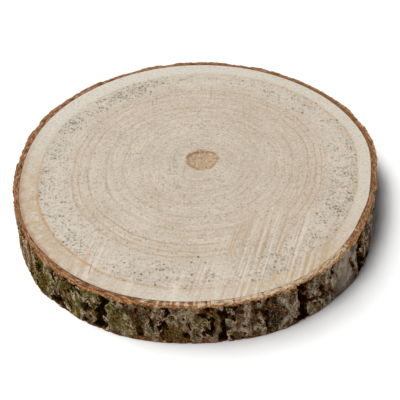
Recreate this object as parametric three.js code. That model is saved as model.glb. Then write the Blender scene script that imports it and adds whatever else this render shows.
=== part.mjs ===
// A round slice sawn across a tree trunk, with its bark on. Millimetres, +Z up.
// The origin is on the trunk's axis, in the lower sawn face.
import * as THREE from "three";

// Driving dimensions
const THICKNESS = 41; // from one sawn face to the other
// Radius over the bark every 30 degrees round the trunk, from +X.
const OUTLINE_RADII = [155.5, 163.2, 162.6, 160.8, 159, 159.5, 158.4, 162.5, 164.2, 158, 156, 153.6];
// How much further out the trunk stands at the lower face than at the upper one, at the same angles.
const FOOT_FLARE = [1.1, 0.3, 0, 0, 0, 0, -0.8, 0.5, 0.2, 1.6, 3.7, 2.6];
// Thickness of the bark at the same angles.
const BARK_THICKNESS = [6, 7, 6.8, 6.6, 6.4, 7, 6, 4.2, 6.8, 6.3, 6, 6.3];
const PITH_CENTRE = [3.3, 14.5];
const PITH_RADIUS = 14;
const PITH_RECESS = 0.9; // depth of the soft pith's dish
const RIM_STEP = 0.5; // the sawn bark has shrunk this far below the sawn wood
const RIM_DROP = 1.8; // how far the torn outer edge of the bark falls away
const RIM_INSET = 0.8; // how far it stands back from the side of the trunk
const FOOT_ROUNDING = 1.2; // the same edge on the underside
const PLATE_RELIEF = 1.6; // height of the lumps on the bark's plates
// Lumps counted round the trunk, their share of the relief, and the height over which a line of them sways.
const PLATE_WAVES = [
  { round: 41, share: 0.45, swayHeight: 9 },
  { round: 67, share: 0.3, swayHeight: 6 },
  { round: 97, share: 0.25, swayHeight: 4.5 },
];
const PLATE_SWAY = 1.6; // radians
const FISSURE_END = 6; // length over which a fissure runs out, half of it past its end
const FISSURE_SWAY = 0.15; // share of its width by which a fissure wanders
const FISSURE_SWAY_HEIGHT = 5;
const EDGE_HEIGHT = 3.5; // the relief of the bark fades over this height towards each sawn face
const EDGE_SHARE = 0.3; // and this share of it is left at the face

// Resolution of the solid
const COLUMNS = 320;
const SIDE_ROWS = 8;

// Fissures on the side that faces front: angle in degrees, width, depth as a share of the bark's thickness,
// lower and upper end, and how far the fissure leans to the right on its way up.
const FRONT_FISSURES = [
  [-143, 9, 0.55, 0, THICKNESS, 4],
  [-133, 5, 0.35, 0, 22, 2],
  [-127.5, 6, 0.45, 28, THICKNESS, 0],
  [-123, 5, 0.5, 0, 22, 1],
  [-118, 9, 0.75, 0, THICKNESS, 5],
  [-112.5, 4, 0.4, 24, 33, 0],
  [-107.5, 3, 0.2, 0, THICKNESS, 1],
  [-100.5, 4, 0.35, 3, 18, 0],
  [-98.7, 6, 0.55, 17, THICKNESS, -5],
  [-92.5, 5, 0.3, 0, 26, 2],
  [-88.7, 10, 0.5, 28, THICKNESS, 1],
  [-86, 5, 0.4, 8, 25, 0],
  [-82.6, 7, 0.55, 0, THICKNESS, 3],
  [-70, 6, 0.5, 0, THICKNESS, 2],
  [-58, 13, 0.7, 0, THICKNESS, -1],
  [-50.5, 7, 0.45, 13, 27, 0],
  [-46.5, 6, 0.45, 29, THICKNESS, 0],
  [-31, 15, 0.75, 0, THICKNESS, -3],
];

// Fissures on the rest of the trunk follow a rule with seeded draws.
const BACK_SEED = 7;
const BACK_FROM = -22;
const BACK_TO = 208;
const BACK_SPACING = [5, 12]; // degrees
const BACK_WIDTH = [4, 13];
const BACK_DEPTH = [0.3, 0.75];
const BACK_LEAN = [-5, 5];
const BACK_FULL_SHARE = 0.65; // share of the fissures that run from face to face
const BACK_SHORT_LENGTH = [9, 24];

const mean = (values) => values.reduce((sum, value) => sum + value) / values.length;
const MEAN_RADIUS = mean(OUTLINE_RADII);
const BARK_MEAN = mean(BARK_THICKNESS);
const WOOD_RADIUS = MEAN_RADIUS - BARK_MEAN;

const WOOD_COLOUR = new THREE.Color("#cdbea8");
const BARK_COLOUR = new THREE.Color("#6a5e4c");

// Repeatable random numbers from 0 to 1.
function seededRandom(seed) {
  let state = seed;
  return () => {
    state = (state + 0x6d2b79f5) | 0;
    let mixed = Math.imul(state ^ (state >>> 15), 1 | state);
    mixed = (mixed + Math.imul(mixed ^ (mixed >>> 7), 61 | mixed)) ^ mixed;
    return ((mixed ^ (mixed >>> 14)) >>> 0) / 2 ** 32;
  };
}

function backFissures() {
  const random = seededRandom(BACK_SEED);
  const between = ([low, high]) => low + (high - low) * random();
  const fissures = [];
  for (let angle = BACK_FROM; angle < BACK_TO; angle += between(BACK_SPACING)) {
    const width = between(BACK_WIDTH);
    const depth = between(BACK_DEPTH);
    const lean = between(BACK_LEAN);
    const full = random() < BACK_FULL_SHARE;
    const length = full ? THICKNESS : between(BACK_SHORT_LENGTH);
    const lower = (THICKNESS - length) * random();
    fissures.push([angle, width, depth, lower, lower + length, lean]);
  }
  return fissures;
}

const FISSURES = [...FRONT_FISSURES, ...backFissures()];

// A smooth closed curve through values that are given at even steps round the trunk, from +X.
function roundTrunk(values, angle) {
  const count = values.length;
  const place = THREE.MathUtils.euclideanModulo((angle / (2 * Math.PI)) * count, count);
  const step = Math.floor(place);
  const t = place - step;
  const [a, b, c, d] = [-1, 0, 1, 2].map((k) => values[(step + k + count) % count]);
  return b + 0.5 * t * (c - a + t * (2 * a - 5 * b + 4 * c - d + t * (3 * (b - c) + d - a)));
}

// Radius of the trunk over the bark.
function outline(angle, z) {
  return roundTrunk(OUTLINE_RADII, angle) + roundTrunk(FOOT_FLARE, angle) * (1 - z / THICKNESS);
}

function barkThickness(angle) {
  return roundTrunk(BARK_THICKNESS, angle);
}

// How deep the bark is split at a place on the side, as a share of its thickness.
function fissureDepth(angle, z) {
  let deepest = 0;
  for (const [degrees, width, depth, lower, upper, lean] of FISSURES) {
    const turn = angle - THREE.MathUtils.degToRad(degrees);
    const along = MEAN_RADIUS * Math.atan2(Math.sin(turn), Math.cos(turn));
    const wander = FISSURE_SWAY * width * Math.sin(z / FISSURE_SWAY_HEIGHT + degrees);
    const across = (along - lean * (z / THICKNESS - 0.5) - wander) / (width / 2);
    const fade = THREE.MathUtils.clamp(Math.min(z - lower, upper - z) / FISSURE_END + 0.5, 0, 1);
    deepest = Math.max(deepest, depth * fade * (1 - across * across));
  }
  return deepest;
}

// Lumps of the bark's plates, from -1 to 1.
function plateLumps(angle, z) {
  let height = 0;
  for (const { round, share, swayHeight } of PLATE_WAVES) {
    height += share * Math.sin(round * angle + PLATE_SWAY * Math.sin(z / swayHeight + round));
  }
  return height;
}

function barkSurface(angle, z) {
  const split = barkThickness(angle) * fissureDepth(angle, z);
  const lumps = PLATE_RELIEF * (0.5 + 0.5 * plateLumps(angle, z));
  const share = Math.min(EDGE_SHARE + Math.min(z, THICKNESS - z) / EDGE_HEIGHT, 1);
  return outline(angle, z) - share * (split + lumps);
}

// The half section of a perfectly round slice, from the axis below to the axis on top.
function sectionProfile() {
  const side = Array.from({ length: SIDE_ROWS }, (_, row) => {
    const share = row / (SIDE_ROWS - 1);
    return new THREE.Vector2(MEAN_RADIUS, THREE.MathUtils.lerp(FOOT_ROUNDING, THICKNESS - RIM_DROP, share));
  });
  return [
    new THREE.Vector2(0, 0),
    new THREE.Vector2(MEAN_RADIUS - FOOT_ROUNDING, 0),
    ...side,
    new THREE.Vector2(MEAN_RADIUS - RIM_INSET, THICKNESS - RIM_STEP),
    new THREE.Vector2(WOOD_RADIUS + RIM_STEP, THICKNESS - RIM_STEP),
    new THREE.Vector2(WOOD_RADIUS, THICKNESS),
    new THREE.Vector2(PITH_RADIUS, THICKNESS),
    new THREE.Vector2(0, THICKNESS - PITH_RECESS),
  ];
}

// The radius that a place of the round slice has in the grown one.
function grownRadius(angle, radius, z) {
  const wood = outline(angle, z) - barkThickness(angle);
  if (radius <= WOOD_RADIUS) return (radius / WOOD_RADIUS) * wood;
  const share = (radius - WOOD_RADIUS) / BARK_MEAN;
  return THREE.MathUtils.lerp(wood, barkSurface(angle, z), share);
}

function woodSlice() {
  const geometry = new THREE.LatheGeometry(sectionProfile(), COLUMNS);
  geometry.rotateX(Math.PI / 2);
  const position = geometry.getAttribute("position");
  const colours = [];
  for (let i = 0; i < position.count; i++) {
    const [x, y, z] = [position.getX(i), position.getY(i), position.getZ(i)];
    const angle = Math.atan2(y, x);
    const radius = Math.hypot(x, y);
    const inPith = radius < WOOD_RADIUS / 2 && z > THICKNESS / 2;
    const grown = inPith ? radius : grownRadius(angle, radius, z);
    const [centreX, centreY] = inPith ? PITH_CENTRE : [0, 0];
    position.setXYZ(i, centreX + grown * Math.cos(angle), centreY + grown * Math.sin(angle), z);
    colours.push(...(radius > WOOD_RADIUS + RIM_STEP / 2 ? BARK_COLOUR : WOOD_COLOUR));
  }
  geometry.setAttribute("color", new THREE.Float32BufferAttribute(colours, 3));
  geometry.computeVertexNormals();
  const material = new THREE.MeshStandardMaterial({ vertexColors: true, roughness: 0.85, metalness: 0 });
  const mesh = new THREE.Mesh(geometry, material);
  mesh.name = "wood_slice";
  return mesh;
}

const slice = new THREE.Group();
slice.add(woodSlice());

export default slice;
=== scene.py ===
# A round slice sawn across a tree trunk, with its bark on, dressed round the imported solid.
# The formulas work in millimetres, and Blender's objects are in metres.
import math

import bpy
import numpy as np
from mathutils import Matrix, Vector, noise


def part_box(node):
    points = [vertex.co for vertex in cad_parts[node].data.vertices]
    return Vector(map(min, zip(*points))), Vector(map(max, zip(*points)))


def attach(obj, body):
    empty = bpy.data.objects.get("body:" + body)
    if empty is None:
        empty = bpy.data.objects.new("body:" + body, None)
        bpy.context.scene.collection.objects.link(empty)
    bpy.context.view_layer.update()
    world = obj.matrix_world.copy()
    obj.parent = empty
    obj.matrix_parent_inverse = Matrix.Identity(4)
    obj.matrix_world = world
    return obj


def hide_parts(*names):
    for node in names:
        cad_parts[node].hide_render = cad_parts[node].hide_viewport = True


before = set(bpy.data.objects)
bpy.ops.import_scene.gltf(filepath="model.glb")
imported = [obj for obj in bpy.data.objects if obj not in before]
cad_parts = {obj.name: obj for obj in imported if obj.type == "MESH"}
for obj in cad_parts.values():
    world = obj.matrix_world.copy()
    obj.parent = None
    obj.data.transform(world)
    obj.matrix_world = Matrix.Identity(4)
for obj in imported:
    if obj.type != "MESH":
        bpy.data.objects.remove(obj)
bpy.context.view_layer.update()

MM = 0.001
TAU = 2 * math.pi
SLICE_LOW, SLICE_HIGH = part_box("wood_slice")
THICKNESS = (SLICE_HIGH.z - SLICE_LOW.z) / MM

# Shape of the trunk, as in the solid
OUTLINE_RADII = np.array([155.5, 163.2, 162.6, 160.8, 159, 159.5, 158.4, 162.5, 164.2, 158, 156, 153.6])
FOOT_FLARE = np.array([1.1, 0.3, 0, 0, 0, 0, -0.8, 0.5, 0.2, 1.6, 3.7, 2.6])
BARK_THICKNESS = np.array([6, 7, 6.8, 6.6, 6.4, 7, 6, 4.2, 6.8, 6.3, 6, 6.3])
MEAN_RADIUS = OUTLINE_RADII.mean()
PITH_CENTRE = np.array([3.3, 14.5])
PITH_RADIUS = 14
PITH_RECESS = 0.9
RIM_STEP = 0.5
RIM_INSET = 0.8
FOOT_ROUNDING = 1.2
PLATE_RELIEF = 1.6
PLATE_WAVES = [(41, 0.45, 9), (67, 0.3, 6), (97, 0.25, 4.5)]
PLATE_SWAY = 1.6
FISSURE_END = 6
FISSURE_SWAY = 0.15
FISSURE_SWAY_HEIGHT = 5

# Fissures on the front, as in the solid: angle in degrees, width, depth as a share of the bark's thickness,
# lower and upper end, and how far the fissure leans to the right on its way up
FRONT_FISSURES = [
    (-143, 9, 0.55, 0, THICKNESS, 4),
    (-133, 5, 0.35, 0, 22, 2),
    (-127.5, 6, 0.45, 28, THICKNESS, 0),
    (-123, 5, 0.5, 0, 22, 1),
    (-118, 9, 0.75, 0, THICKNESS, 5),
    (-112.5, 4, 0.4, 24, 33, 0),
    (-107.5, 3, 0.2, 0, THICKNESS, 1),
    (-100.5, 4, 0.35, 3, 18, 0),
    (-98.7, 6, 0.55, 17, THICKNESS, -5),
    (-92.5, 5, 0.3, 0, 26, 2),
    (-88.7, 10, 0.5, 28, THICKNESS, 1),
    (-86, 5, 0.4, 8, 25, 0),
    (-82.6, 7, 0.55, 0, THICKNESS, 3),
    (-70, 6, 0.5, 0, THICKNESS, 2),
    (-58, 13, 0.7, 0, THICKNESS, -1),
    (-50.5, 7, 0.45, 13, 27, 0),
    (-46.5, 6, 0.45, 29, THICKNESS, 0),
    (-31, 15, 0.75, 0, THICKNESS, -3),
]
# The rule for the other fissures, as in the solid
BACK_SEED = 7
BACK_FROM = -22
BACK_TO = 208
BACK_SPACING = (5, 12)
BACK_WIDTH = (4, 13)
BACK_DEPTH = (0.3, 0.75)
BACK_LEAN = (-5, 5)
BACK_FULL_SHARE = 0.65
BACK_SHORT_LENGTH = (9, 24)

# Resolution of the meshes
BARK_COLUMNS = 1400
BARK_SIDE_ROWS = 56
BARK_RIM_ROWS = 8
BARK_FOOT_ROWS = 4
WOOD_COLUMNS = 720
WOOD_TOP_ROWS = 100
WOOD_UNDER_ROWS = 24
SEAM_GAP = 0.06  # between the wood and the bark's inner wall
SHARP_ANGLE = math.radians(50)  # the wood's edges from this angle on are shaded sharp

# Places in the UV maps: the bark's strips, and the wood's two discs (centre, size) and wall
BARK_STRIPS = 4
STRIP_MARGIN = 0.02
TOP_DISC = (0.355, 0.7)
UNDER_DISC = ((0.86, 0.14), 0.26)
WALL_U = (0.01, 0.7)  # start and length
WALL_V = (0.74, 0.76)  # foot and top

# Swells of the side that the solid leaves out: angle and half width in degrees, and their height at the
# foot and at the top
SWELLS = [
    (13, 10, -0.4, 1.6),
    (-6, 11, -2.4, -1.0),
    (-23, 7, 0, -1.4),
    (-33, 10, 2.2, 0),
    (-142, 6, 2.0, 0),
]

# Layers of noise on the bark: size of the lumps, round the trunk and along it where they differ, seed, share
DRIFT_LAYERS = [(9, 1, 1)]
RISE_LAYERS = [(7, 31, 1)]
FISSURE_LAYERS = [((7, 7, 9), 57, 1), ((2.4, 2.4, 3), 83, 0.4)]
HOLLOW_SIZE = (6.5, 6.5, 12)
HOLLOW_LAYERS = [(HOLLOW_SIZE, 37, 1), (np.divide(HOLLOW_SIZE, 2.3), 43, 0.5)]
BROKEN_LAYERS = [((9, 9, 12), 23, 1)]
SCALE_SIZE = (8, 8, 15)
SCALE_LAYERS = [(SCALE_SIZE, 3, 1), (np.divide(SCALE_SIZE, 2.3), 11, 0.4)]
ROUGH_SIZE = (3.2, 3.2, 6)
ROUGH_LAYERS = [(ROUGH_SIZE, 5, 1), (np.divide(ROUGH_SIZE, 2.1), 9, 0.6)]
MOSS_LAYERS = [((22, 22, 18), 71, 1)]
BROWN_LAYERS = [((18, 18, 26), 91, 1)]
EDGE_LAYERS = [(9, 3, 0.5), (2.4, 9, 0.25)]
HANG_LAYERS = [(11, 51, 3.0), (4, 53, 1.8)]
TORN_LAYERS = [((3.5, 3.5, 4), 41, 1), ((1.5, 1.5, 2), 47, 0.5)]
FOOT_LAYERS = [(5, 21, 0.4)]
CRUMB_LAYERS = [(1.6, 15, 1)]

# Relief of the bark
BARK_WARP = 3.0  # how far noise pushes the pattern about
BARK_LEAN = 0.45  # how far the pattern moves to the left for each millimetre up
FISSURE_RAGGED = 3.6  # how far a fissure's line wanders
FISSURE_GAIN = 1.4  # a fissure's depth on the scale of the hollows
HOLLOW_NOISE = 0.85  # the noise, on that scale, that breaks the fissures into hollows
MORE_HOLLOWS = [(-137, 15, 0.15), (-83, 8, 0.16), (-96, 6, 0.05)]  # angle, half width in degrees, height
HOLLOW_LEVEL = 0.27  # on that scale, the edge of a hollow
HOLE_EDGE = (HOLLOW_LEVEL - 0.04, HOLLOW_LEVEL + 0.12)
CORE_EDGE = (HOLLOW_LEVEL + 0.15, HOLLOW_LEVEL + 0.45)
LIP_EDGE = (HOLLOW_LEVEL - 0.14, HOLLOW_LEVEL - 0.05, HOLLOW_LEVEL + 0.02)
HOLLOW_DEPTH = 2.0
CORE_DEPTH = 2.6  # how much deeper the middle of a hollow is
LIP_PROUD = 0.3
LEDGES = [(16, 61, 1.0), (5.5, 67, 0.4)]  # flakes that are missing all along the side: size, seed, depth
LEDGE_STRETCH = 0.15  # they are about seven times as tall as they are wide
LEDGE_EDGE = 0.1
LEDGE_PROUD = 0.4  # how far the other flakes stand out
BROKEN_EDGE = (-0.45, 0.1)  # the plates break into thin scales as the noise rises between these
SCALE_COUNT = 2.4  # how many scales lie over each other
SCALE_STEP = 0.9
ROUGH_RELIEF = 0.35
PLATE_SINK = 0.24  # how far the plates lie inside the outline
LUMP_SHARE = 0.25  # height of their lumps as a share of PLATE_RELIEF, half of the solid's
SMOOTH_PLATE = (-40.5, 5)  # a smooth plate on the front right: angle and half width in degrees
SMOOTH_PLATE_FILL = 0.4  # how far it fills the hollows, on their scale
MOST_PROUD = 0.8  # the furthest that the relief stands out of the outline
LEAST_BARK = 1.2  # what a fissure always leaves over the wood

# Edges of the bark
RIM_FADE = 1.8  # the hollows fade out over this height towards the rim
RIM_SMOOTH = (0.3, 2 * RIM_FADE)  # and all relief but the ledges between these depths below it
FOOT_FADE = 4.0  # the relief fades over this height towards the foot
FOOT_SHARE = 0.2  # where this much of it is left
EDGE_DROP = 0.8  # the outer edge of the rim lies about this far below its middle
EDGE_LIMITS = (0.2, 1.6)
INNER_RISE = 0.35  # the rim rises beside the wood
INNER_SHARE = 0.3  # over this share of its width
OUTER_SHARE = 0.55  # it starts to fall away here
RIM_CRUMBS = 0.25
TORN_HEIGHT = 0.7  # the torn, orange edge under the sawn rim
TORN_START = 0.4  # the share of its height where it starts to fade
TORN_RAGGED = 1.2
TORN_INSET = 0.4
FOOT_LIFT = 0.4  # height of the side's lower edge
FOOT_LIMITS = (0.1, 0.9)
FOOT_EDGE = 1.2  # height of the brown edge at the foot
FOOT_START = 0.3
FOOT_RAGGED = 0.7
FOOT_INSET = 0.2
FOOT_CUT_INSET = 0.4 * FOOT_ROUNDING  # the sawn foot starts this far inside the side's lower edge

# Where the bark's colours change round the trunk: angle and half width in degrees, strength
MOSS_PLACES = [(-130, 19, 1.0), (-143, 4, 0.7), (-95, 25, 0.25), (120, 45, 0.35)]
MOSS_PATCHY_PLACES = [(-130, 19, 0.6), (120, 45, 0.6)]
MOSS_PATCHES = 0.5
MOSS_LEVEL = -0.05
BROWN_PLACES = [(-89, 13, 0.5), (-45, 30, -0.3)]
BROWN_LOW_PLACES = [(-89, 13, 0.5)]
BROWN_LOW = 0.35
BROWN_LOW_HEIGHTS = (0.75, 0.2)  # shares of the thickness
BROWN_PATCHES = 0.6
CREAM_PLACES = [(-86, 13, 0.4), (-57, 22, 0.8), (-104, 8, 0.2)]
CREAM_BELOW = 0.2  # all round the sawn foot
PALE_RIM = (32, 54)  # where the rim's outer edge is tan: angle and half width

# Tones of the bark's side
BARK_CONTRAST = 1.26
BARK_PIVOT = 0.17  # the tone that the contrast leaves as it is
BARK_BRIGHTNESS = 1.4
BARK_GAIN = BARK_BRIGHTNESS * BARK_PIVOT ** (1 - BARK_CONTRAST)

# The sawn wood: rings as shares of the way from the pith to the bark, with their strength.
# They take three stops each of a colour ramp, which holds 32.
RINGS = [
    (0.165, 0.42), (0.25, 0.25), (0.345, 0.5), (0.44, 0.75), (0.49, 0.3),
    (0.537, 0.8), (0.585, 0.3), (0.633, 0.95), (0.682, 0.9), (0.715, 0.75),
]
RING_RISE = 0.009
RING_END = 0.004
SAPWOOD_RING = 0.913
SAPWOOD_SWING = 0.018  # the sapwood is thinner than that towards the front right
SAPWOOD_SWING_ANGLE = math.radians(-45)
SAPWOOD_SWING_RINGS = (0.7, 0.9)  # the swing sets in between these rings
PITH_WAVES = [(2, 0.6, 0.6), (5, 0.3, 0), (7, 0.3, 2)]  # waves round the pith, height, turn in radians
PITH_DISH = (0.6, 1.02)  # shares of the pith's radius between which its dish falls

# Where the wood's colours change round the trunk: angle and half width in degrees, strength
MOULD_PATCHES = [
    (132, 34, 1.0), (180, 22, 0.6), (214, 16, 0.55), (-100, 18, 0.6),
    (-60, 20, 0.8), (-10, 27, 1.0), (45, 40, 0.25),
]
MOULD_GAIN = 1.2
MOULD_BAND = 0.85  # the mould is in a band of rings inside the sapwood
MOULD_BAND_WIDTH = 0.08
YELLOW_PLACES = [(203, 35, 0.9), (-58, 30, 0.7), (130, 50, -0.2), (-110, 22, 0.2)]
YELLOW_LEAST = 0.1
OCHRE_PLACES = [(218, 46, 1.2), (-22, 34, 0.5), (42, 34, 0.8)]
OCHRE_LEAST = 0.15
WHITE_LEAST = 0.5
WHITE_SIDE = (205, 38)  # a band of rings is whiter on this side: angle and half width
WHITE_BAND = (0.7, 0.82, 0.93)
WHITE_EDGE_PLACES = [(122, 48, 1.0), (-101, 12, 0.7)]
WHITE_EDGE = (0.91, 0.95)  # rings
RIGHT_SHADE_FROM_TO = (-70, 110)  # painted shade: the wood is darkened from left to right between these places

# Areas where the saw left marks: centre, half size across and along the marks, strength
SAW_AREAS = [((62, -108), 62, 72, 1.0), ((-88, -108), 17, 36, 0.8), ((14, -132), 46, 26, 0.75)]
SAW_FADE = (0.5, 1.0)
SAW_ANGLE = math.radians(74)
SAW_STROKE = 2.6  # width of the marks

# Small cracks, stains and streaks near the front edge: two ends, half width, strength, colour
SCRATCHES = [
    ((-87.5, -78), (-102.5, -92.5), 0.9, 0.4, (184, 146, 98)),
    ((-93, -114), (-90, -106), 3.4, 0.55, (190, 150, 102)),
    ((-94.5, -110), (-96.5, -123), 3.2, 0.6, (216, 210, 200)),
    ((-86.5, -115.5), (-89, -128.5), 2.6, 0.6, (218, 211, 202)),
    ((-93.5, -107.5), (-95, -125), 0.9, 0.5, (182, 144, 96)),
    ((-86.5, -94.5), (-92.5, -109), 1.5, 0.4, (188, 150, 104)),
    ((-82.5, -99.5), (-86, -123.5), 0.8, 0.6, (140, 112, 76)),
    ((-82, -72.5), (-87.5, -77.5), 0.8, 0.7, (168, 136, 96)),
    ((-18, -132), (-20, -150), 5.0, 0.55, (222, 214, 202)),
    ((-52, -128), (-57, -146), 4.5, 0.5, (220, 212, 198)),
    ((-70, -118), (-76, -134), 3.5, 0.35, (220, 212, 198)),
]

# Darker marks on the back half of the pith: two ends, half width, strength
PITH_DARK_MARKS = [
    ((-9, 20), (-2, 25), 3.0, 0.6),
    ((-2, 25), (8, 24.5), 3.0, 0.6),
    ((-4, 16), (4, 19), 2.0, 0.7),
]

# Camera, in the photograph's frame
CAMERA_DISTANCE = 1000
CAMERA_ELEVATION = math.radians(42.15)
CAMERA_FOCAL_PIXELS = 1140.9
FRAME_PIXELS = 400
SLICE_CENTRE_PIXEL = (198.3, 188.2)

# Soft lights: name, strength, and spread, azimuth and elevation in degrees
LIGHTS = [
    ("high_left", 1.41, 22, 180, 74),
    ("left", 0.91, 22, 203, 63),
    ("back_left", 1.4, 24, 152, 57),
    ("front", 0.15, 24, -85, 45),
]
SKY_LIGHT = 0.02  # how strongly the sky lights the scene, though the camera sees it white
FLOOR_WIDTH = 12.0  # metres
FLOOR_TINT = (0.95, 0.95, 0.95, 1)
FLOOR_ROUGHNESS = 0.9


def seeded_random(seed):
    """Repeatable random numbers from 0 to 1, the same as the solid's."""
    mask = 0xFFFFFFFF
    state = seed

    def draw():
        nonlocal state
        state = (state + 0x6D2B79F5) & mask
        mixed = ((state ^ (state >> 15)) * (1 | state)) & mask
        mixed = ((mixed + (mixed ^ (mixed >> 7)) * (61 | mixed)) & mask) ^ mixed
        return (mixed ^ (mixed >> 14)) / 2**32

    return draw


def back_fissures():
    random = seeded_random(BACK_SEED)

    def between(limits):
        return limits[0] + (limits[1] - limits[0]) * random()

    fissures = []
    angle = BACK_FROM
    while angle < BACK_TO:
        width = between(BACK_WIDTH)
        depth = between(BACK_DEPTH)
        lean = between(BACK_LEAN)
        full = random() < BACK_FULL_SHARE
        length = THICKNESS if full else between(BACK_SHORT_LENGTH)
        lower = (THICKNESS - length) * random()
        fissures.append((angle, width, depth, lower, lower + length, lean))
        angle += between(BACK_SPACING)
    return fissures


FISSURES = FRONT_FISSURES + back_fissures()


def smoothstep(low, high, value):
    share = np.clip((value - low) / (high - low), 0, 1)
    return share * share * (3 - 2 * share)


def band(value, low, top, high):
    """0 below low, 1 at top, and 0 again above high."""
    return smoothstep(low, top, value) * (1 - smoothstep(top, high, value))


def turn_between(angle, other):
    """The way round from one angle to another, from -pi to pi."""
    return (angle - other + math.pi) % TAU - math.pi


def bump(angle, degrees, half_width):
    """1 at an angle in degrees, falling away on both sides of it."""
    return np.exp(-((turn_between(angle, math.radians(degrees)) / math.radians(half_width)) ** 2))


def bump_sum(angle, places):
    return sum(strength * bump(angle, *place) for *place, strength in places)


def highest_bump(angle, places):
    return np.maximum.reduce([strength * bump(angle, *place) for *place, strength in places])


def noise_at(points, size, seed):
    """Smooth noise from -1 to 1, with lumps of about the given size along each axis."""
    scaled = (points / np.asarray(size) + seed).tolist()
    return np.array([noise.noise(p) for p in scaled])


def layered_noise(points, layers):
    return sum(share * noise_at(points, size, seed) for size, seed, share in layers)


def round_trunk(values, angle):
    """A smooth closed curve through values that are given at even steps round the trunk, from +X."""
    count = len(values)
    place = (angle / TAU * count) % count
    step = np.floor(place).astype(int)
    t = place - step
    a, b, c, d = (values[(step + k) % count] for k in (-1, 0, 1, 2))
    return b + 0.5 * t * (c - a + t * (2 * a - 5 * b + 4 * c - d + t * (3 * (b - c) + d - a)))


def outline(angle, z):
    """Radius of the trunk over the bark."""
    height = z / THICKNESS
    swells = [bump(angle, *place) * (foot + (top - foot) * height) for *place, foot, top in SWELLS]
    return round_trunk(OUTLINE_RADII, angle) + round_trunk(FOOT_FLARE, angle) * (1 - height) + sum(swells)


def bark_thickness(angle):
    return round_trunk(BARK_THICKNESS, angle)


def wood_radius(angle, z):
    return outline(angle, z) - bark_thickness(angle)


def on_trunk(angle, z):
    """Points on the round trunk, so that noise has no seam."""
    return np.column_stack((MEAN_RADIUS * np.cos(angle), MEAN_RADIUS * np.sin(angle), z))


def plate_lumps(angle, z):
    height = np.zeros_like(angle)
    for waves, share, sway_height in PLATE_WAVES:
        height += share * np.sin(waves * angle + PLATE_SWAY * np.sin(z / sway_height + waves))
    return height


def fissures_at(angle, z, ragged):
    """How far inside a fissure each point lies: 0 on a plate, and the fissure's depth in its middle."""
    deepest = np.zeros_like(angle)
    for degrees, width, depth, lower, upper, lean in FISSURES:
        along = MEAN_RADIUS * turn_between(angle, math.radians(degrees))
        wander = FISSURE_SWAY * width * np.sin(z / FISSURE_SWAY_HEIGHT + degrees)
        across = (along + ragged - lean * (z / THICKNESS - 0.5) - wander) / (width / 2)
        fade = np.clip(np.minimum(z - lower, upper - z) / FISSURE_END + 0.5, 0, 1)
        deepest = np.maximum(deepest, depth * fade * (1 - across * across))
    return deepest


def ledges_at(angle, z):
    """Steps in the side where whole flakes are missing."""
    points = on_trunk(angle, LEDGE_STRETCH * z)
    inward = np.full_like(angle, -LEDGE_PROUD)
    for size, seed, depth in LEDGES:
        inward += depth * smoothstep(-LEDGE_EDGE, LEDGE_EDGE, noise_at(points, size, seed))
    return inward


def bark_relief(angle, z):
    """How far the bark's side lies inside the outline, with the masks that its colours need."""
    points = on_trunk(angle + BARK_LEAN * (z - THICKNESS / 2) / MEAN_RADIUS, z)
    drift = layered_noise(points, DRIFT_LAYERS)
    warped = points + BARK_WARP * np.column_stack((drift, drift, layered_noise(points, RISE_LAYERS)))
    ragged = FISSURE_RAGGED * layered_noise(points, FISSURE_LAYERS)
    rough = layered_noise(warped, ROUGH_LAYERS)
    plain = bump(angle, *SMOOTH_PLATE)
    broken = smoothstep(*BROKEN_EDGE, layered_noise(points, BROKEN_LAYERS)) * (1 - plain)
    scales = SCALE_COUNT * layered_noise(warped, SCALE_LAYERS)
    under_rim = THICKNESS - RIM_STEP - z + rough

    hollow = FISSURE_GAIN * fissures_at(angle, z, ragged)
    hollow += HOLLOW_NOISE * layered_noise(warped, HOLLOW_LAYERS)
    hollow += bump_sum(angle, MORE_HOLLOWS) - SMOOTH_PLATE_FILL * plain
    hollow *= smoothstep(0, RIM_FADE, under_rim)
    hole = smoothstep(*HOLE_EDGE, hollow)
    core = smoothstep(*CORE_EDGE, hollow)
    lip = band(hollow, *LIP_EDGE)

    inward = HOLLOW_DEPTH * hole + CORE_DEPTH * core - LIP_PROUD * lip
    inward += SCALE_STEP * (scales % 1) * broken - ROUGH_RELIEF * rough
    inward += PLATE_SINK + LUMP_SHARE * PLATE_RELIEF * plate_lumps(angle, z)
    inward *= smoothstep(*RIM_SMOOTH, under_rim)
    inward += ledges_at(angle, z)
    inward *= FOOT_SHARE + (1 - FOOT_SHARE) * smoothstep(0, FOOT_FADE, z)
    inward = np.clip(inward, -MOST_PROUD, bark_thickness(angle) - LEAST_BARK)
    return inward, {"hollow": hollow, "scales": scales, "broken": broken, "plain": plain}


def moss_at(angle, points):
    """Green algae: strong on the front left, thin patches elsewhere."""
    patches = layered_noise(points, MOSS_LAYERS)
    patchy = MOSS_PATCHES + bump_sum(angle, MOSS_PATCHY_PLACES)
    return np.clip(bump_sum(angle, MOSS_PLACES) + patchy * patches + MOSS_LEVEL, 0, 1)


def brown_at(angle, z, points):
    """Where the bark is browner: low down on the front, and patches elsewhere."""
    patches = BROWN_PATCHES * layered_noise(points, BROWN_LAYERS)
    low = smoothstep(*BROWN_LOW_HEIGHTS, z / THICKNESS)
    below = (BROWN_LOW + bump_sum(angle, BROWN_LOW_PLACES)) * low
    return np.clip(bump_sum(angle, BROWN_PLACES) + below + patches, 0, 1)


def grid_faces(rows, columns, closed_rows):
    """Quads between the rows of a grid of points that closes on itself round the trunk."""
    row, column = np.meshgrid(np.arange(rows if closed_rows else rows - 1), np.arange(columns), indexing="ij")
    after = (column + 1) % columns
    here = row * columns
    below = (row + 1) % rows * columns
    return np.stack((here + column, below + column, below + after, here + after), -1).reshape(-1, 4)


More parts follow.
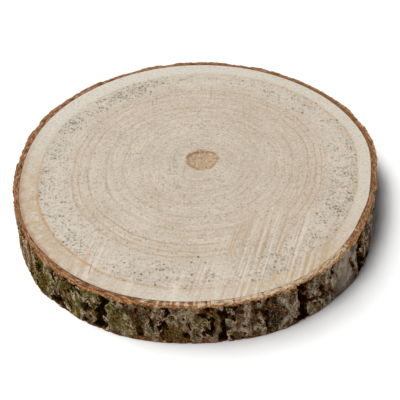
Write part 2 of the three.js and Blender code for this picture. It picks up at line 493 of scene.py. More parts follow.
def make_piece(name, points, faces, masks, uv, material):
    """A mesh object in metres with its masks as attributes, its UV map, and its place on the frame."""
    mesh = bpy.data.meshes.new(name)
    mesh.from_pydata((points * MM).tolist(), [], faces)
    for mask, values in masks.items():
        mesh.attributes.new(mask, "FLOAT", "POINT").data.foreach_set("value", values.astype(np.float32))
    layer = mesh.uv_layers.new(name="OFBake")
    layer.data.foreach_set("uv", uv.astype(np.float32).ravel())
    mesh.validate()
    mesh.shade_smooth()
    mesh.materials.append(material)
    piece = bpy.data.objects.new(name, mesh)
    bpy.context.scene.collection.objects.link(piece)
    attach(piece, "root")
    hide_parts("wood_slice")
    return piece


def bark_side(angle, edge_z, foot_z):
    """Rows down the bark's side: the radius, height and masks of each."""
    hang = layered_noise(on_trunk(angle, np.zeros_like(angle)), HANG_LAYERS)
    rows = []
    for share in np.linspace(0, 1, BARK_SIDE_ROWS):
        z = edge_z + (foot_z - edge_z) * share
        inward, masks = bark_relief(angle, z)
        points = on_trunk(angle, z)
        ragged = layered_noise(points, TORN_LAYERS)
        below_rim = THICKNESS - RIM_STEP - z + TORN_RAGGED * ragged + hang
        torn = 1 - smoothstep(TORN_HEIGHT * TORN_START, TORN_HEIGHT, below_rim)
        foot = 1 - smoothstep(FOOT_EDGE * FOOT_START, FOOT_EDGE, z + FOOT_RAGGED * ragged)
        inward += RIM_INSET * (TORN_INSET * torn * ragged + FOOT_INSET * foot)
        masks["moss"] = moss_at(angle, points)
        masks["brown"] = np.maximum(brown_at(angle, z, points), foot)
        masks["torn"] = torn
        masks["height"] = z / THICKNESS
        masks["share"] = 1.0
        rows.append((outline(angle, z) - inward, z, masks))
    return rows


def bark_rim(angle, edge_z, edge_radius):
    """Rows of the sawn rim, from the wood outwards."""
    top = THICKNESS - RIM_STEP
    wood = wood_radius(angle, THICKNESS) + SEAM_GAP
    rim = {"cut": 1.0, "cream": bump_sum(angle, CREAM_PLACES), "pale": bump(angle, *PALE_RIM), "height": 1.0}
    rows = []
    for share in np.linspace(0, 1, BARK_RIM_ROWS, endpoint=False):
        radius = wood + (edge_radius - wood) * share
        fall = (top - edge_z) * smoothstep(OUTER_SHARE, 1, share)
        rise = INNER_RISE * smoothstep(INNER_SHARE, 0, share)
        lumps = layered_noise(on_trunk(angle, radius), CRUMB_LAYERS)
        crumbs = RIM_CRUMBS * (0.5 + 0.5 * lumps) * (share > 0)
        rows.append((radius, top - fall + rise - crumbs, {**rim, "share": share}))
    return rows


def bark_foot(angle, edge_radius):
    """Rows of the sawn foot, from the side inwards."""
    wood = wood_radius(angle, 0) + SEAM_GAP
    edge = edge_radius - FOOT_CUT_INSET
    rows = []
    for share in np.linspace(1, 0, BARK_FOOT_ROWS):
        masks = {"cut": 1.0, "share": share, "cream": CREAM_BELOW}
        rows.append((wood + (edge - wood) * share, np.zeros_like(angle), masks))
    return rows


def bark_section(angle):
    """The points of the bark's section at every angle, row by row, and the masks of the points."""
    around = on_trunk(angle, np.zeros_like(angle))
    drop = np.clip(EDGE_DROP + layered_noise(around, EDGE_LAYERS), *EDGE_LIMITS)
    edge_z = THICKNESS - RIM_STEP - drop
    foot_z = np.clip(FOOT_LIFT + layered_noise(around, FOOT_LAYERS), *FOOT_LIMITS)
    side = bark_side(angle, edge_z, foot_z)
    rows = bark_rim(angle, edge_z, side[0][0]) + side + bark_foot(angle, side[-1][0])
    points = [np.column_stack((radius * np.cos(angle), radius * np.sin(angle), z)) for radius, z, _ in rows]
    names = sorted({name for *_, masks in rows for name in masks})
    masks = {
        name: np.concatenate([np.broadcast_to(row.get(name, 0.0), angle.shape) for *_, row in rows])
        for name in names
    }
    return np.concatenate(points), masks


def bark_uv(faces):
    """The bark's strip round the trunk, cut into shorter ones that lie one above the other."""
    rows = BARK_RIM_ROWS + BARK_SIDE_ROWS + BARK_FOOT_ROWS + 1
    columns = BARK_COLUMNS // BARK_STRIPS
    row = np.repeat(np.arange(len(faces)) // BARK_COLUMNS, 4).reshape(-1, 4) + np.array([0, 1, 1, 0])
    column = np.repeat(np.arange(len(faces)) % BARK_COLUMNS, 4).reshape(-1, 4)
    along = (column % columns + np.array([0, 0, 1, 1])) / columns
    width = 1 - 2 * STRIP_MARGIN
    u = STRIP_MARGIN + width * along
    v = (column // columns + STRIP_MARGIN + width * (1 - row / rows)) / BARK_STRIPS
    return np.stack((u, v), -1)


def make_bark():
    angle = np.arange(BARK_COLUMNS) * TAU / BARK_COLUMNS
    points, masks = bark_section(angle)
    faces = grid_faces(len(points) // BARK_COLUMNS, BARK_COLUMNS, closed_rows=True)
    make_piece("bark", points, faces.tolist(), masks, bark_uv(faces), bark_material())


def from_pith(points):
    """Distance and direction from the pith, and the distance from the pith to the bark that way."""
    tiny = 1e-6
    rounds = 8
    offset = points[:, :2] - PITH_CENTRE
    distance = np.hypot(*offset.T)
    direction = offset / np.maximum(distance, tiny)[:, None]
    reach = np.full(len(points), MEAN_RADIUS)
    for _ in range(rounds):
        end = PITH_CENTRE + direction * reach[:, None]
        reach += wood_radius(np.arctan2(end[:, 1], end[:, 0]), points[:, 2]) - np.hypot(*end.T)
    return distance, np.arctan2(direction[:, 1], direction[:, 0]), reach


def pith_radius(angle):
    return PITH_RADIUS + sum(height * np.sin(waves * angle + turn) for waves, height, turn in PITH_WAVES)


def saw_marks(points):
    """How strongly the saw marked each point."""
    strength = np.zeros(len(points))
    for centre, half_across, half_along, share in SAW_AREAS:
        away = points[:, :2] - centre
        side = away[:, 0] * math.sin(SAW_ANGLE) - away[:, 1] * math.cos(SAW_ANGLE)
        ahead = away[:, 0] * math.cos(SAW_ANGLE) + away[:, 1] * math.sin(SAW_ANGLE)
        distance = np.hypot(side / half_across, ahead / half_along)
        strength = np.maximum(strength, share * (1 - smoothstep(*SAW_FADE, distance)))
    return strength


def wood_masks(points, mirror):
    """What the sawn wood's colours need at each point. The underside swaps left and right."""
    seen = points * (mirror, 1, 1)
    around = np.arctan2(seen[:, 1], seen[:, 0])
    distance, angle, reach = from_pith(points)
    ring = distance / reach
    swing = SAPWOOD_SWING * np.cos(angle - SAPWOOD_SWING_ANGLE)
    ring = ring - swing * smoothstep(*SAPWOOD_SWING_RINGS, ring)
    in_band = np.exp(-(((ring - MOULD_BAND) / MOULD_BAND_WIDTH) ** 2)) * (ring < SAPWOOD_RING)
    white_inside = (WHITE_LEAST + (1 - WHITE_LEAST) * bump(around, *WHITE_SIDE)) * band(ring, *WHITE_BAND)
    white_edge = highest_bump(around, WHITE_EDGE_PLACES) * smoothstep(*WHITE_EDGE, ring)
    return {
        "ring": ring,
        "mould": np.clip(MOULD_GAIN * highest_bump(around, MOULD_PATCHES) * in_band, 0, 1),
        "yellow": np.clip(YELLOW_LEAST + bump_sum(around, YELLOW_PLACES), 0, 1),
        "right_shade": smoothstep(*RIGHT_SHADE_FROM_TO, seen[:, 0]),
        "white": np.maximum(white_inside, white_edge),
        "ochre": np.clip(bump_sum(around, OCHRE_PLACES), OCHRE_LEAST, 1),
        "saw": saw_marks(seen),
        "pith": distance / pith_radius(angle),
    }


def wood_face(rows, z, mirror):
    """One sawn face as rows of points from the edge to the trunk's axis, with the masks of its points."""
    angle = np.tile(np.arange(WOOD_COLUMNS) * TAU / WOOD_COLUMNS, rows)
    share = np.repeat(np.linspace(1, 1 / rows, rows), WOOD_COLUMNS)
    radius = wood_radius(angle, z) * share
    points = np.column_stack((radius * np.cos(angle), radius * np.sin(angle), np.full(len(angle), z)))
    points = np.vstack((points, (0, 0, z)))
    return points, wood_masks(points, mirror)


def fan_faces(first, apex):
    """Triangles from a row of points to the point in the middle of a face."""
    column = np.arange(WOOD_COLUMNS)
    return np.stack((first + column, first + (column + 1) % WOOD_COLUMNS, np.full_like(column, apex)), -1)


def disc_uv(points, centre, size):
    return centre + points[:, :2] / (2 * MEAN_RADIUS) * size


def wall_uv():
    column = np.arange(WOOD_COLUMNS)
    start, length = WALL_U
    foot, top = WALL_V
    u = start + length * np.stack((column, column, column + 1, column + 1), -1) / WOOD_COLUMNS
    v = np.broadcast_to([top, foot, foot, top], u.shape)
    return np.stack((u, v), -1).reshape(-1, 2)


def make_wood():
    top, top_masks = wood_face(WOOD_TOP_ROWS, THICKNESS, 1)
    under, under_masks = wood_face(WOOD_UNDER_ROWS, 0.0, -1)
    top[:, 2] -= PITH_RECESS * (1 - smoothstep(*PITH_DISH, top_masks["pith"]))
    points = np.vstack((top, under))
    masks = {name: np.concatenate((top_masks[name], under_masks[name])) for name in top_masks}

    start = len(top)
    column = np.arange(WOOD_COLUMNS)
    after = (column + 1) % WOOD_COLUMNS
    top_quads = grid_faces(WOOD_TOP_ROWS, WOOD_COLUMNS, closed_rows=False)[:, ::-1]
    under_quads = grid_faces(WOOD_UNDER_ROWS, WOOD_COLUMNS, closed_rows=False) + start
    wall_quads = np.stack((column, start + column, start + after, after), -1)
    quads = np.vstack((top_quads, under_quads, wall_quads))
    top_fan = fan_faces((WOOD_TOP_ROWS - 1) * WOOD_COLUMNS, start - 1)
    under_fan = fan_faces(start + (WOOD_UNDER_ROWS - 1) * WOOD_COLUMNS, len(points) - 1)[:, ::-1]
    fans = np.vstack((top_fan, under_fan))

    uv = np.vstack((disc_uv(top, *TOP_DISC), disc_uv(under, *UNDER_DISC)))
    corner_uv = uv[np.concatenate((quads.ravel(), fans.ravel()))]
    wall = slice(4 * (len(top_quads) + len(under_quads)), 4 * len(quads))
    corner_uv[wall] = wall_uv()
    faces = quads.tolist() + fans.tolist()
    wood = make_piece("sawn_wood", points, faces, masks, corner_uv, wood_material())
    wood.data.set_sharp_from_angle(angle=SHARP_ANGLE)


def colour(red, green, blue):
    """An sRGB colour, 0 to 255, as Blender's linear one."""
    linear = [((c / 255 + 0.055) / 1.055) ** 2.4 if c > 10 else c / 255 / 12.92 for c in (red, green, blue)]
    return (*linear, 1.0)


class Graph:
    """A material's nodes. Each method adds nodes, links or sets their inputs, and returns an output."""

    def __init__(self, name):
        self.material = bpy.data.materials.new(name)
        self.material.use_nodes = True
        self.tree = self.material.node_tree
        self.shader = self.tree.nodes["Principled BSDF"]

    def put(self, value, socket):
        if isinstance(value, bpy.types.NodeSocket):
            self.tree.links.new(value, socket)
        else:
            socket.default_value = value

    def add(self, kind, output, inputs, **settings):
        made = self.tree.nodes.new(kind)
        for name, value in settings.items():
            setattr(made, name, value)
        for name, value in inputs.items():
            self.put(value, made.inputs[name])
        return made.outputs[output]

    def mask(self, name):
        return self.add("ShaderNodeAttribute", "Fac", {}, attribute_name=name)

    def millimetres(self, stretch=(1, 1, 1)):
        place = self.add("ShaderNodeTexCoord", "Object", {})
        return self.vector("MULTIPLY", place, tuple(s / MM for s in stretch))

    def vector(self, operation, a, b=None, output="Vector"):
        inputs = {0: a} if b is None else {0: a, 1: b}
        return self.add("ShaderNodeVectorMath", output, inputs, operation=operation)

    def maths(self, operation, a, b=0.0, clamp=False):
        return self.add("ShaderNodeMath", "Value", {0: a, 1: b}, operation=operation, use_clamp=clamp)

    def plus(self, a, b):
        return self.maths("ADD", a, b)

    def minus(self, a, b):
        return self.maths("SUBTRACT", a, b)

    def times(self, a, b):
        return self.maths("MULTIPLY", a, b)

    def sway(self, value, width):
        """Noise from 0 to 1 as a push either way, over the given width in all."""
        return self.times(self.minus(value, 0.5), width)

    def noise(self, place, size, detail=2.0, roughness=0.5):
        inputs = {"Vector": place, "Scale": 1 / size, "Detail": detail, "Roughness": roughness}
        return self.add("ShaderNodeTexNoise", "Fac", inputs)

    def step(self, value, low, high, low_result=0.0, high_result=1.0):
        """Goes smoothly from one result to the other between two values."""
        inputs = {
            "Value": value,
            "From Min": low,
            "From Max": high,
            "To Min": low_result,
            "To Max": high_result,
        }
        return self.add("ShaderNodeMapRange", "Result", inputs, interpolation_type="SMOOTHSTEP")

    def mix(self, share, a, b, blend="MIX"):
        made = self.tree.nodes.new("ShaderNodeMix")
        made.data_type = "RGBA"
        made.blend_type = blend
        self.put(share, made.inputs["Factor"])
        self.put(a, made.inputs[6])
        self.put(b, made.inputs[7])
        return made.outputs[2]

    def ramp(self, value, stops):
        made = self.tree.nodes.new("ShaderNodeValToRGB")
        while len(made.color_ramp.elements) < len(stops):
            made.color_ramp.elements.new(1.0)
        for element, (place, tint) in zip(made.color_ramp.elements, stops):
            element.position = place
            element.color = tint
        self.put(value, made.inputs["Fac"])
        return made.outputs["Color"]

    def specks(self, place, size, radius, density):
        """Soft round specks, one in each cell that its random number picks."""
        cells = self.tree.nodes.new("ShaderNodeTexVoronoi")
        cells.voronoi_dimensions = "2D"
        self.put(place, cells.inputs["Vector"])
        self.put(1 / size, cells.inputs["Scale"])
        number = self.add("ShaderNodeSeparateColor", "Red", {"Color": cells.outputs["Color"]})
        width = self.add("ShaderNodeSeparateColor", "Green", {"Color": cells.outputs["Color"]})
        reach = self.times(self.plus(width, 0.35), radius / size)
        inside = self.step(self.maths("DIVIDE", cells.outputs["Distance"], reach), 1.0, 0.3)
        return self.times(inside, self.maths("LESS_THAN", number, density))

    def segment(self, place, start, end, half_width):
        """1 on a straight mark between two points of the upper face, and 0 away from it."""
        first = Vector((*start, THICKNESS))
        way = Vector((*end, THICKNESS)) - first
        away = self.vector("SUBTRACT", place, first)
        ahead = self.vector("DOT_PRODUCT", away, way / way.length_squared, output="Value")
        between = self.maths("ADD", ahead, 0.0, clamp=True)
        nearest = self.add("ShaderNodeVectorMath", "Vector", {0: way, "Scale": between}, operation="SCALE")
        distance = self.vector("LENGTH", self.vector("SUBTRACT", away, nearest), output="Value")
        return self.step(distance, half_width, 0.0)

    def finish(self, base, roughness, shine, bumps):
        """Sets the shader's colour and gloss and chains the bumps: a height, its depth in mm and strength."""
        self.put(base, self.shader.inputs["Base Color"])
        self.put(shine, self.shader.inputs["Specular IOR Level"])
        self.put(roughness, self.shader.inputs["Roughness"])
        normal = None
        for height, depth, strength in bumps:
            inputs = {"Height": height, "Distance": depth * MM, "Strength": strength}
            if normal is not None:
                inputs["Normal"] = normal
            normal = self.add("ShaderNodeBump", "Normal", inputs)
        self.put(normal, self.shader.inputs["Normal"])
        return self.material


def ring_stops():
    """Thin lines on the scale from pith to bark: each darkens slowly outwards and ends sharply."""
    black = (0, 0, 0, 1)
    stops = [(0.0, black)]
    for place, strength in RINGS:
        stops.append((place - RING_RISE, black))
        stops.append((place, (strength, strength, strength, 1)))
        stops.append((place + RING_END, black))
    return stops


def heartwood(g, place, ring, outward, patchy):
    """The wood's ground with its fine growth and its clear rings, with painted shade towards the right."""
    base = g.ramp(g.noise(place, 34, 3), [(0.35, colour(193, 179, 162)), (0.65, colour(203, 191, 175))])
    deep = g.add("ShaderNodeCombineXYZ", "Vector", {"Z": g.times(ring, 80)})
    turning = g.vector("ADD", g.vector("MULTIPLY", outward, (2.5, 2.5, 0)), deep)
    growth = g.noise(turning, 1.0, 3, 0.55)
    base = g.mix(g.step(growth, 0.5, 0.7, 0, 0.48), base, colour(182, 161, 133))
    base = g.mix(g.step(growth, 0.48, 0.3, 0, 0.5), base, colour(214, 205, 192))
    # painted shade: the wood darkened towards the right
    base = g.mix(g.times(g.mask("right_shade"), 0.22), base, colour(178, 160, 138))
    lines = g.times(g.ramp(ring, ring_stops()), g.step(patchy, 0.3, 0.55, 0.5, 1.0))
    lines = g.times(lines, g.step(g.mask("saw"), 0.1, 0.9, 1.0, 0.45))
    return g.mix(g.times(lines, 0.9), base, colour(178, 141, 94))


def add_sapwood(g, place, base, ring, fray, sapwood):
    """The pale sapwood with its stains, the ochre line inside it and the brown edge at the bark."""
    yellow = g.mask("yellow")
    pale = g.mix(yellow, colour(207, 201, 189), colour(186, 165, 136))
    base = g.mix(g.times(sapwood, 0.85), base, pale)
    base = g.mix(g.times(g.mask("white"), 0.5), base, colour(216, 209, 196))
    away = g.maths("ABSOLUTE", g.minus(ring, SAPWOOD_RING - 0.004))
    ochre = g.times(g.step(away, 0.013, 0.001), g.mask("ochre"))
    ochre = g.times(ochre, g.step(g.noise(place, 10, 2), 0.38, 0.55, 0.5, 1.0))
    base = g.mix(g.times(ochre, 0.85), base, colour(184, 141, 83))

    blotch = g.noise(place, 7, 3, 0.6)
    stained = g.times(sapwood, yellow)
    dark = g.times(stained, g.step(blotch, 0.48, 0.64, 0.0, 0.7))
    base = g.mix(dark, base, colour(190, 160, 118))
    light = g.times(stained, g.step(blotch, 0.48, 0.34, 0.0, 0.7))
    base = g.mix(light, base, colour(208, 199, 184))
    edge = g.step(g.plus(ring, g.times(fray, 0.5)), 0.98, 1.002, 0.0, 0.8)
    return g.mix(g.times(edge, yellow), base, colour(158, 123, 91))


def add_mould(g, place, base, ring, sapwood, patchy):
    """Grey haze and specks: dense in the patches of mould, and thin all over the heartwood."""
    smudged = g.step(g.noise(place, 4.5, 3, 0.65), 0.52, 0.7, 0.0, 0.2)
    base = g.mix(g.times(smudged, g.step(ring, SAPWOOD_RING, 0.86)), base, colour(160, 150, 133))
    mould = g.times(g.mask("mould"), g.step(g.noise(place, 9, 3, 0.55), 0.4, 0.6))
    haze = g.times(mould, g.step(g.noise(place, 3.5, 4, 0.6), 0.42, 0.62, 0.0, 0.42))
    base = g.mix(haze, base, colour(162, 154, 139))

    wobble = g.add("ShaderNodeTexNoise", "Color", {"Vector": place, "Scale": 0.9, "Detail": 2.0})
    shaken = g.vector("ADD", place, g.vector("MULTIPLY", wobble, (1.6, 1.6, 0)))
    within = g.step(sapwood, 0.9, 0.1)
    faint = g.specks(g.vector("ADD", shaken, (90, 240, 0)), 3.0, 1.6, g.times(within, 0.42))
    faint = g.times(faint, g.step(patchy, 0.4, 0.6, 0.15, 0.45))
    base = g.mix(faint, base, colour(140, 130, 112))
    tiny = g.specks(shaken, 2.1, 0.9, g.plus(mould, g.times(within, 0.15)))
    tiny = g.times(tiny, g.step(patchy, 0.6, 0.4, 0.32, 0.66))
    base = g.mix(tiny, base, colour(120, 111, 96))
    large = g.specks(g.vector("ADD", shaken, (310, 170, 0)), 2.8, 1.5, g.times(mould, 0.8))
    large = g.times(large, g.step(g.noise(place, 4, 2), 0.36, 0.58, 0.4, 0.86))
    return g.mix(large, base, colour(106, 100, 84))


def saw_strokes(g, place):
    """The saw's strokes as noise that is long along them, and how strong they are."""
    turn = {"Vector": place, "Angle": -SAW_ANGLE}
    turned = g.add("ShaderNodeVectorRotate", "Vector", turn, rotation_type="Z_AXIS")
    stroke = g.noise(g.vector("MULTIPLY", turned, (0.025, 1, 0)), SAW_STROKE, 2, 0.6)
    strength = g.times(g.mask("saw"), g.step(g.noise(place, 20, 2), 0.35, 0.6, 0.5, 1.0))
    return stroke, strength


def add_scratches(g, place, base):
    worn = g.step(g.noise(place, 3.0, 3, 0.6), 0.36, 0.58, 0.35, 1.1)
    for start, end, half_width, strength, tint in SCRATCHES:
        mark = g.times(g.segment(place, start, end, half_width), worn)
        base = g.mix(g.times(mark, strength), base, colour(*tint))
    return base


def add_pith(g, place, base):
    """The soft brown pith with its darker outline and darker marks on its back half."""
    soft = g.noise(place, 2.2, 4, 0.65)
    pith = g.plus(g.mask("pith"), g.sway(soft, 0.5))
    tint = g.ramp(g.noise(place, 2.0, 3, 0.7), [
        (0.36, colour(198, 176, 149)), (0.5, colour(180, 155, 126)), (0.64, colour(148, 120, 90)),
    ])
    line = g.step(g.maths("ABSOLUTE", g.minus(pith, 0.93)), 0.2, 0.02)
    line = g.times(line, g.step(g.noise(place, 5, 3), 0.4, 0.6, 0.1, 0.8))
    tint = g.mix(line, tint, colour(162, 121, 78))
    worn = g.step(soft, 0.3, 0.6, 0.5, 1.0)
    for start, end, half_width, strength in PITH_DARK_MARKS:
        dark_mark = g.times(g.segment(place, start, end, half_width), worn)
        tint = g.mix(g.times(dark_mark, strength), tint, colour(118, 100, 74))
    return g.mix(g.step(pith, 1.06, 0.94), base, tint)


def wood_material():
    g = Graph("sawn_wood")
    place = g.millimetres()
    ring = g.plus(g.mask("ring"), g.sway(g.noise(place, 30, 3), 0.028))
    outward = g.vector("NORMALIZE", g.vector("SUBTRACT", place, (*PITH_CENTRE, 0)))
    rays = g.noise(g.vector("MULTIPLY", outward, (70, 70, 0)), 1.0, 3)
    grain = g.noise(place, 1.8, 3, 0.6)
    patchy = g.noise(place, 24, 2)
    fray = g.sway(g.noise(place, 7, 3), 0.05)
    sapwood = g.step(g.plus(ring, fray), SAPWOOD_RING - 0.025, SAPWOOD_RING + 0.02)

    base = heartwood(g, place, ring, outward, patchy)
    base = add_sapwood(g, place, base, ring, fray, sapwood)
    base = g.mix(g.step(rays, 0.4, 0.75, 0.0, 0.25), base, colour(212, 204, 191))
    base = g.mix(g.step(grain, 0.3, 0.55, 0.45, 0.0), base, colour(164, 149, 130))
    base = g.mix(g.step(grain, 0.52, 0.74, 0.0, 0.4), base, colour(217, 210, 199))
    base = add_mould(g, place, base, ring, sapwood, patchy)
    stroke, saw = saw_strokes(g, place)
    # the saw's marks: pale ridges and darker furrows, partly the cut wood's own tone, partly painted
    # highlight and shadow
    base = g.mix(g.times(saw, g.step(stroke, 0.52, 0.66, 0.0, 0.65)), base, colour(218, 208, 192))
    base = g.mix(g.times(saw, g.step(stroke, 0.48, 0.34, 0.0, 0.75)), base, colour(176, 148, 112))
    base = add_scratches(g, place, base)
    base = add_pith(g, place, base)
    bumps = [(grain, 0.25, 0.35), (rays, 0.15, 0.2), (g.times(saw, stroke), 0.4, 0.4)]
    return g.finish(base, roughness=0.82, shine=0.2, bumps=bumps)


def bark_plates(g, fine, streak, tone):
    """Grey and brown plates with dark streaks, and the smooth plate."""
    side = g.ramp(tone, [
        (0.36, colour(40, 36, 21)), (0.44, colour(94, 86, 71)), (0.51, colour(166, 154, 142)),
        (0.58, colour(142, 126, 108)), (0.67, colour(98, 71, 46)),
    ])
    side = g.mix(g.times(g.mask("brown"), 0.58), side, colour(114, 81, 51))
    side = g.mix(g.step(streak, 0.35, 0.53, 0.8, 0.0), side, colour(44, 36, 20))
    side = g.mix(g.step(fine, 0.48, 0.34, 0.0, 0.42), side, colour(52, 43, 28))
    side = g.mix(g.step(fine, 0.52, 0.68, 0.0, 0.45), side, colour(186, 171, 149))
    smooth = g.mix(streak, colour(108, 98, 88), colour(170, 158, 147))
    return g.mix(g.times(g.mask("plain"), 0.75), side, smooth)


def add_ridges(g, place, side, hollow, streak, tone, overlap):
    """Warm edges of scales and hollows, partly own colour, partly painted highlight; painted shadow under the
    scales.
    """
    broken = g.mask("broken")
    warm = g.mix(g.step(tone, 0.44, 0.56), colour(146, 105, 68), colour(184, 168, 143))
    # warm edges of the scales: partly their own colour, partly painted highlight
    ridge_and_highlight = g.times(broken, g.step(overlap, 0.3, 0.05, 0.0, 0.65))
    ridge_and_highlight = g.times(ridge_and_highlight, g.step(g.noise(place, 7, 2), 0.42, 0.58, 0.2, 1.0))
    side = g.mix(ridge_and_highlight, side, warm)
    # painted shadow in the gaps under the scales
    gap_shadow = g.times(broken, g.step(overlap, 0.75, 0.97, 0.0, 0.9))
    side = g.mix(gap_shadow, side, colour(38, 29, 14))
    # warm lip round the hollows: partly its own colour, partly painted highlight
    lip = g.times(g.step(hollow, -0.16, -0.06), g.step(hollow, 0.03, -0.03))
    return g.mix(g.times(lip, g.step(streak, 0.35, 0.6, 0.2, 0.9)), side, warm)


def add_hollows(g, place, side, hollow, moss):
    """Brown and green inside the hollows, with painted shade that is nearly black in their middle."""
    # the bark's own brown and green inside the hollows, darkened with painted shade
    inside = g.ramp(g.noise(place, 3.0, 3, 0.6), [
        (0.38, colour(22, 17, 9)), (0.48, colour(50, 40, 21)),
        (0.56, colour(82, 57, 34)), (0.66, colour(120, 84, 52)),
    ])
    inside = g.mix(g.times(moss, 0.7), inside, colour(52, 52, 11))
    side = g.mix(g.step(hollow, -0.03, 0.12), side, inside)
    # painted shade: nearly black in the middle of the hollows
    return g.mix(g.step(hollow, 0.2, 0.55, 0.0, 0.75), side, colour(12, 9, 5))


def bark_side_tint(g, place, fine, streak, tone, overlap):
    """The bark's weathered side."""
    fray = g.sway(g.noise(place, 2.6, 3, 0.6), 0.7)
    hollow = g.minus(g.plus(g.mask("hollow"), fray), HOLLOW_LEVEL)
    moss = g.times(g.mask("moss"), g.step(g.noise(place, 4.5, 3, 0.6), 0.4, 0.54))
    green = g.ramp(fine, [(0.4, colour(46, 47, 8)), (0.6, colour(104, 103, 38))])
    side = bark_plates(g, fine, streak, tone)
    side = g.mix(g.times(moss, 0.9), side, green)
    # darker and greener round the hollows: partly stain and moss, partly painted shade
    stain_and_shade = g.step(hollow, -0.35, 0.0, 0.0, 0.85)
    side = g.mix(stain_and_shade, side, g.mix(moss, colour(56, 42, 23), colour(43, 43, 8)))
    side = add_ridges(g, place, side, hollow, streak, tone, overlap)
    side = add_hollows(g, place, side, hollow, moss)
    foot = g.step(g.mask("height"), 0.04, 0.0, 0.0, 0.6)
    side = g.mix(foot, side, colour(126, 82, 46))
    side = g.add("ShaderNodeGamma", "Color", {"Color": side, "Gamma": BARK_CONTRAST})
    return g.mix(1.0, side, (BARK_GAIN, BARK_GAIN, BARK_GAIN, 1), "MULTIPLY")


def sawn_bark(g, place, fine, orange):
    """The bark's sawn rim: brown and cream inner bark with fibres along it, and an orange outer edge."""
    share = g.mask("share")
    pale = g.mask("pale")
    around = g.vector("NORMALIZE", g.millimetres((1, 1, 0)))
    along = g.vector("MULTIPLY", around, (MEAN_RADIUS, MEAN_RADIUS, 0))
    outwards = g.add("ShaderNodeCombineXYZ", "Vector", {"Z": g.times(share, 4.0)})
    fibres = g.noise(g.vector("ADD", g.vector("MULTIPLY", along, (0.16, 0.16, 0)), outwards), 1.0, 4, 0.6)
    creamy = g.step(g.plus(g.noise(along, 3.8, 1), g.times(g.mask("cream"), 0.7)), 0.75, 0.79)
    brown = g.ramp(fibres, [
        (0.36, colour(84, 54, 35)), (0.5, colour(140, 100, 69)), (0.64, colour(186, 150, 115)),
    ])
    cream = g.ramp(fibres, [
        (0.34, colour(136, 103, 75)), (0.46, colour(182, 156, 125)), (0.58, colour(206, 187, 160)),
    ])
    tan = g.ramp(g.noise(place, 1.8, 3, 0.6), [
        (0.36, colour(86, 58, 36)), (0.46, colour(162, 114, 71)), (0.6, colour(203, 157, 108)),
    ])
    inner = g.mix(creamy, brown, cream)
    inner = g.mix(g.step(fine, 0.36, 0.5, 0.6, 0.0), inner, colour(96, 66, 43))
    seam = g.plus(share, g.sway(fine, 0.3))
    shaded = g.times(g.step(seam, 0.16, 0.04), g.step(creamy, 0.0, 1.0, 0.65, 0.15))
    inner = g.mix(shaded, inner, colour(88, 59, 38))
    inner = g.mix(g.times(pale, 0.6), inner, colour(116, 78, 46))
    outer = g.plus(share, g.sway(g.noise(place, 5, 4, 0.6), 1.2))
    return g.mix(g.step(outer, 0.58, 0.78), inner, g.mix(pale, orange, tan))


def bark_material():
    g = Graph("bark")
    place = g.millimetres()
    tall = g.millimetres((1, 1, 0.5))
    fine = g.noise(place, 1.3, 4, 0.6)
    streak = g.noise(tall, 3.2, 3, 0.6)
    tone = g.noise(tall, 10, 2)
    overlap = g.maths("FRACT", g.plus(g.mask("scales"), g.times(streak, 0.5)))
    orange = g.ramp(fine, [
        (0.36, colour(88, 53, 29)), (0.5, colour(150, 96, 55)), (0.64, colour(192, 142, 95)),
    ])
    side = bark_side_tint(g, place, fine, streak, tone, overlap)
    side = g.mix(g.mask("torn"), side, orange)
    base = g.mix(g.mask("cut"), side, sawn_bark(g, place, fine, orange))
    relief = g.times(g.mask("broken"), g.minus(1.0, overlap))
    bumps = [(fine, 0.3, 0.35), (streak, 0.6, 0.4), (relief, 0.8, 0.6)]
    return g.finish(base, roughness=0.9, shine=0.0, bumps=bumps)


def add_light(name, energy, spread, azimuth, elevation):
    light = bpy.data.lights.new(name, "SUN")
    light.energy = energy
    light.angle = math.radians(spread)
    sun = bpy.data.objects.new(name, light)
    turn = math.radians(azimuth)
    height = math.radians(elevation)
    towards = Vector((math.cos(turn) * math.cos(height), math.sin(turn) * math.cos(height), math.sin(height)))
    sun.rotation_mode = "QUATERNION"
    sun.rotation_quaternion = towards.to_track_quat("Z", "Y")
    bpy.context.scene.collection.objects.link(sun)


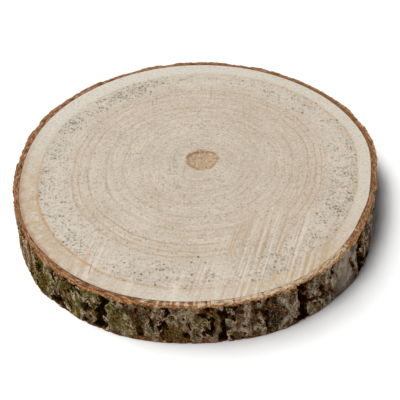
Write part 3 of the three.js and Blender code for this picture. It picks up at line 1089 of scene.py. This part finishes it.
def make_floor():
    half = FLOOR_WIDTH / 2
    corners = [(-half, -half, 0), (half, -half, 0), (half, half, 0), (-half, half, 0)]
    mesh = bpy.data.meshes.new("floor")
    mesh.from_pydata(corners, [], [(0, 1, 2, 3)])
    g = Graph("floor")
    g.put(FLOOR_TINT, g.shader.inputs["Base Color"])
    g.put(FLOOR_ROUGHNESS, g.shader.inputs["Roughness"])
    mesh.materials.append(g.material)
    floor = bpy.data.objects.new("floor", mesh)
    bpy.context.scene.collection.objects.link(floor)


def make_sky():
    """A sky that looks white and only dimly lights."""
    world = bpy.data.worlds.new("studio")
    world.use_nodes = True
    nodes, links = world.node_tree.nodes, world.node_tree.links
    sky = nodes["Background"]
    sky.inputs["Color"].default_value = (1, 1, 1, 1)
    seen = nodes.new("ShaderNodeLightPath").outputs["Is Camera Ray"]
    strength = nodes.new("ShaderNodeMapRange")
    strength.inputs["To Min"].default_value = SKY_LIGHT
    links.new(seen, strength.inputs["Value"])
    links.new(strength.outputs["Result"], sky.inputs["Strength"])
    bpy.context.scene.world = world
    bpy.context.scene.view_settings.view_transform = "Standard"


def make_camera():
    """The photograph's view: from the front, looking down, with the slice's centre on its pixel."""
    centre = Vector((0, 0, THICKNESS / 2)) * MM
    back = Vector((0, -math.cos(CAMERA_ELEVATION), math.sin(CAMERA_ELEVATION)))
    data = bpy.data.cameras.new("camera")
    data.lens = data.sensor_width * CAMERA_FOCAL_PIXELS / FRAME_PIXELS
    data.shift_x = (FRAME_PIXELS / 2 - SLICE_CENTRE_PIXEL[0]) / FRAME_PIXELS
    data.shift_y = (SLICE_CENTRE_PIXEL[1] - FRAME_PIXELS / 2) / FRAME_PIXELS
    camera = bpy.data.objects.new("camera", data)
    camera.location = centre + back * CAMERA_DISTANCE * MM
    camera.rotation_mode = "QUATERNION"
    camera.rotation_quaternion = back.to_track_quat("Z", "Y")
    bpy.context.scene.collection.objects.link(camera)
    bpy.context.scene.camera = camera


make_camera()
make_floor()
make_sky()
for light in LIGHTS:
    add_light(*light)
make_bark()
make_wood()
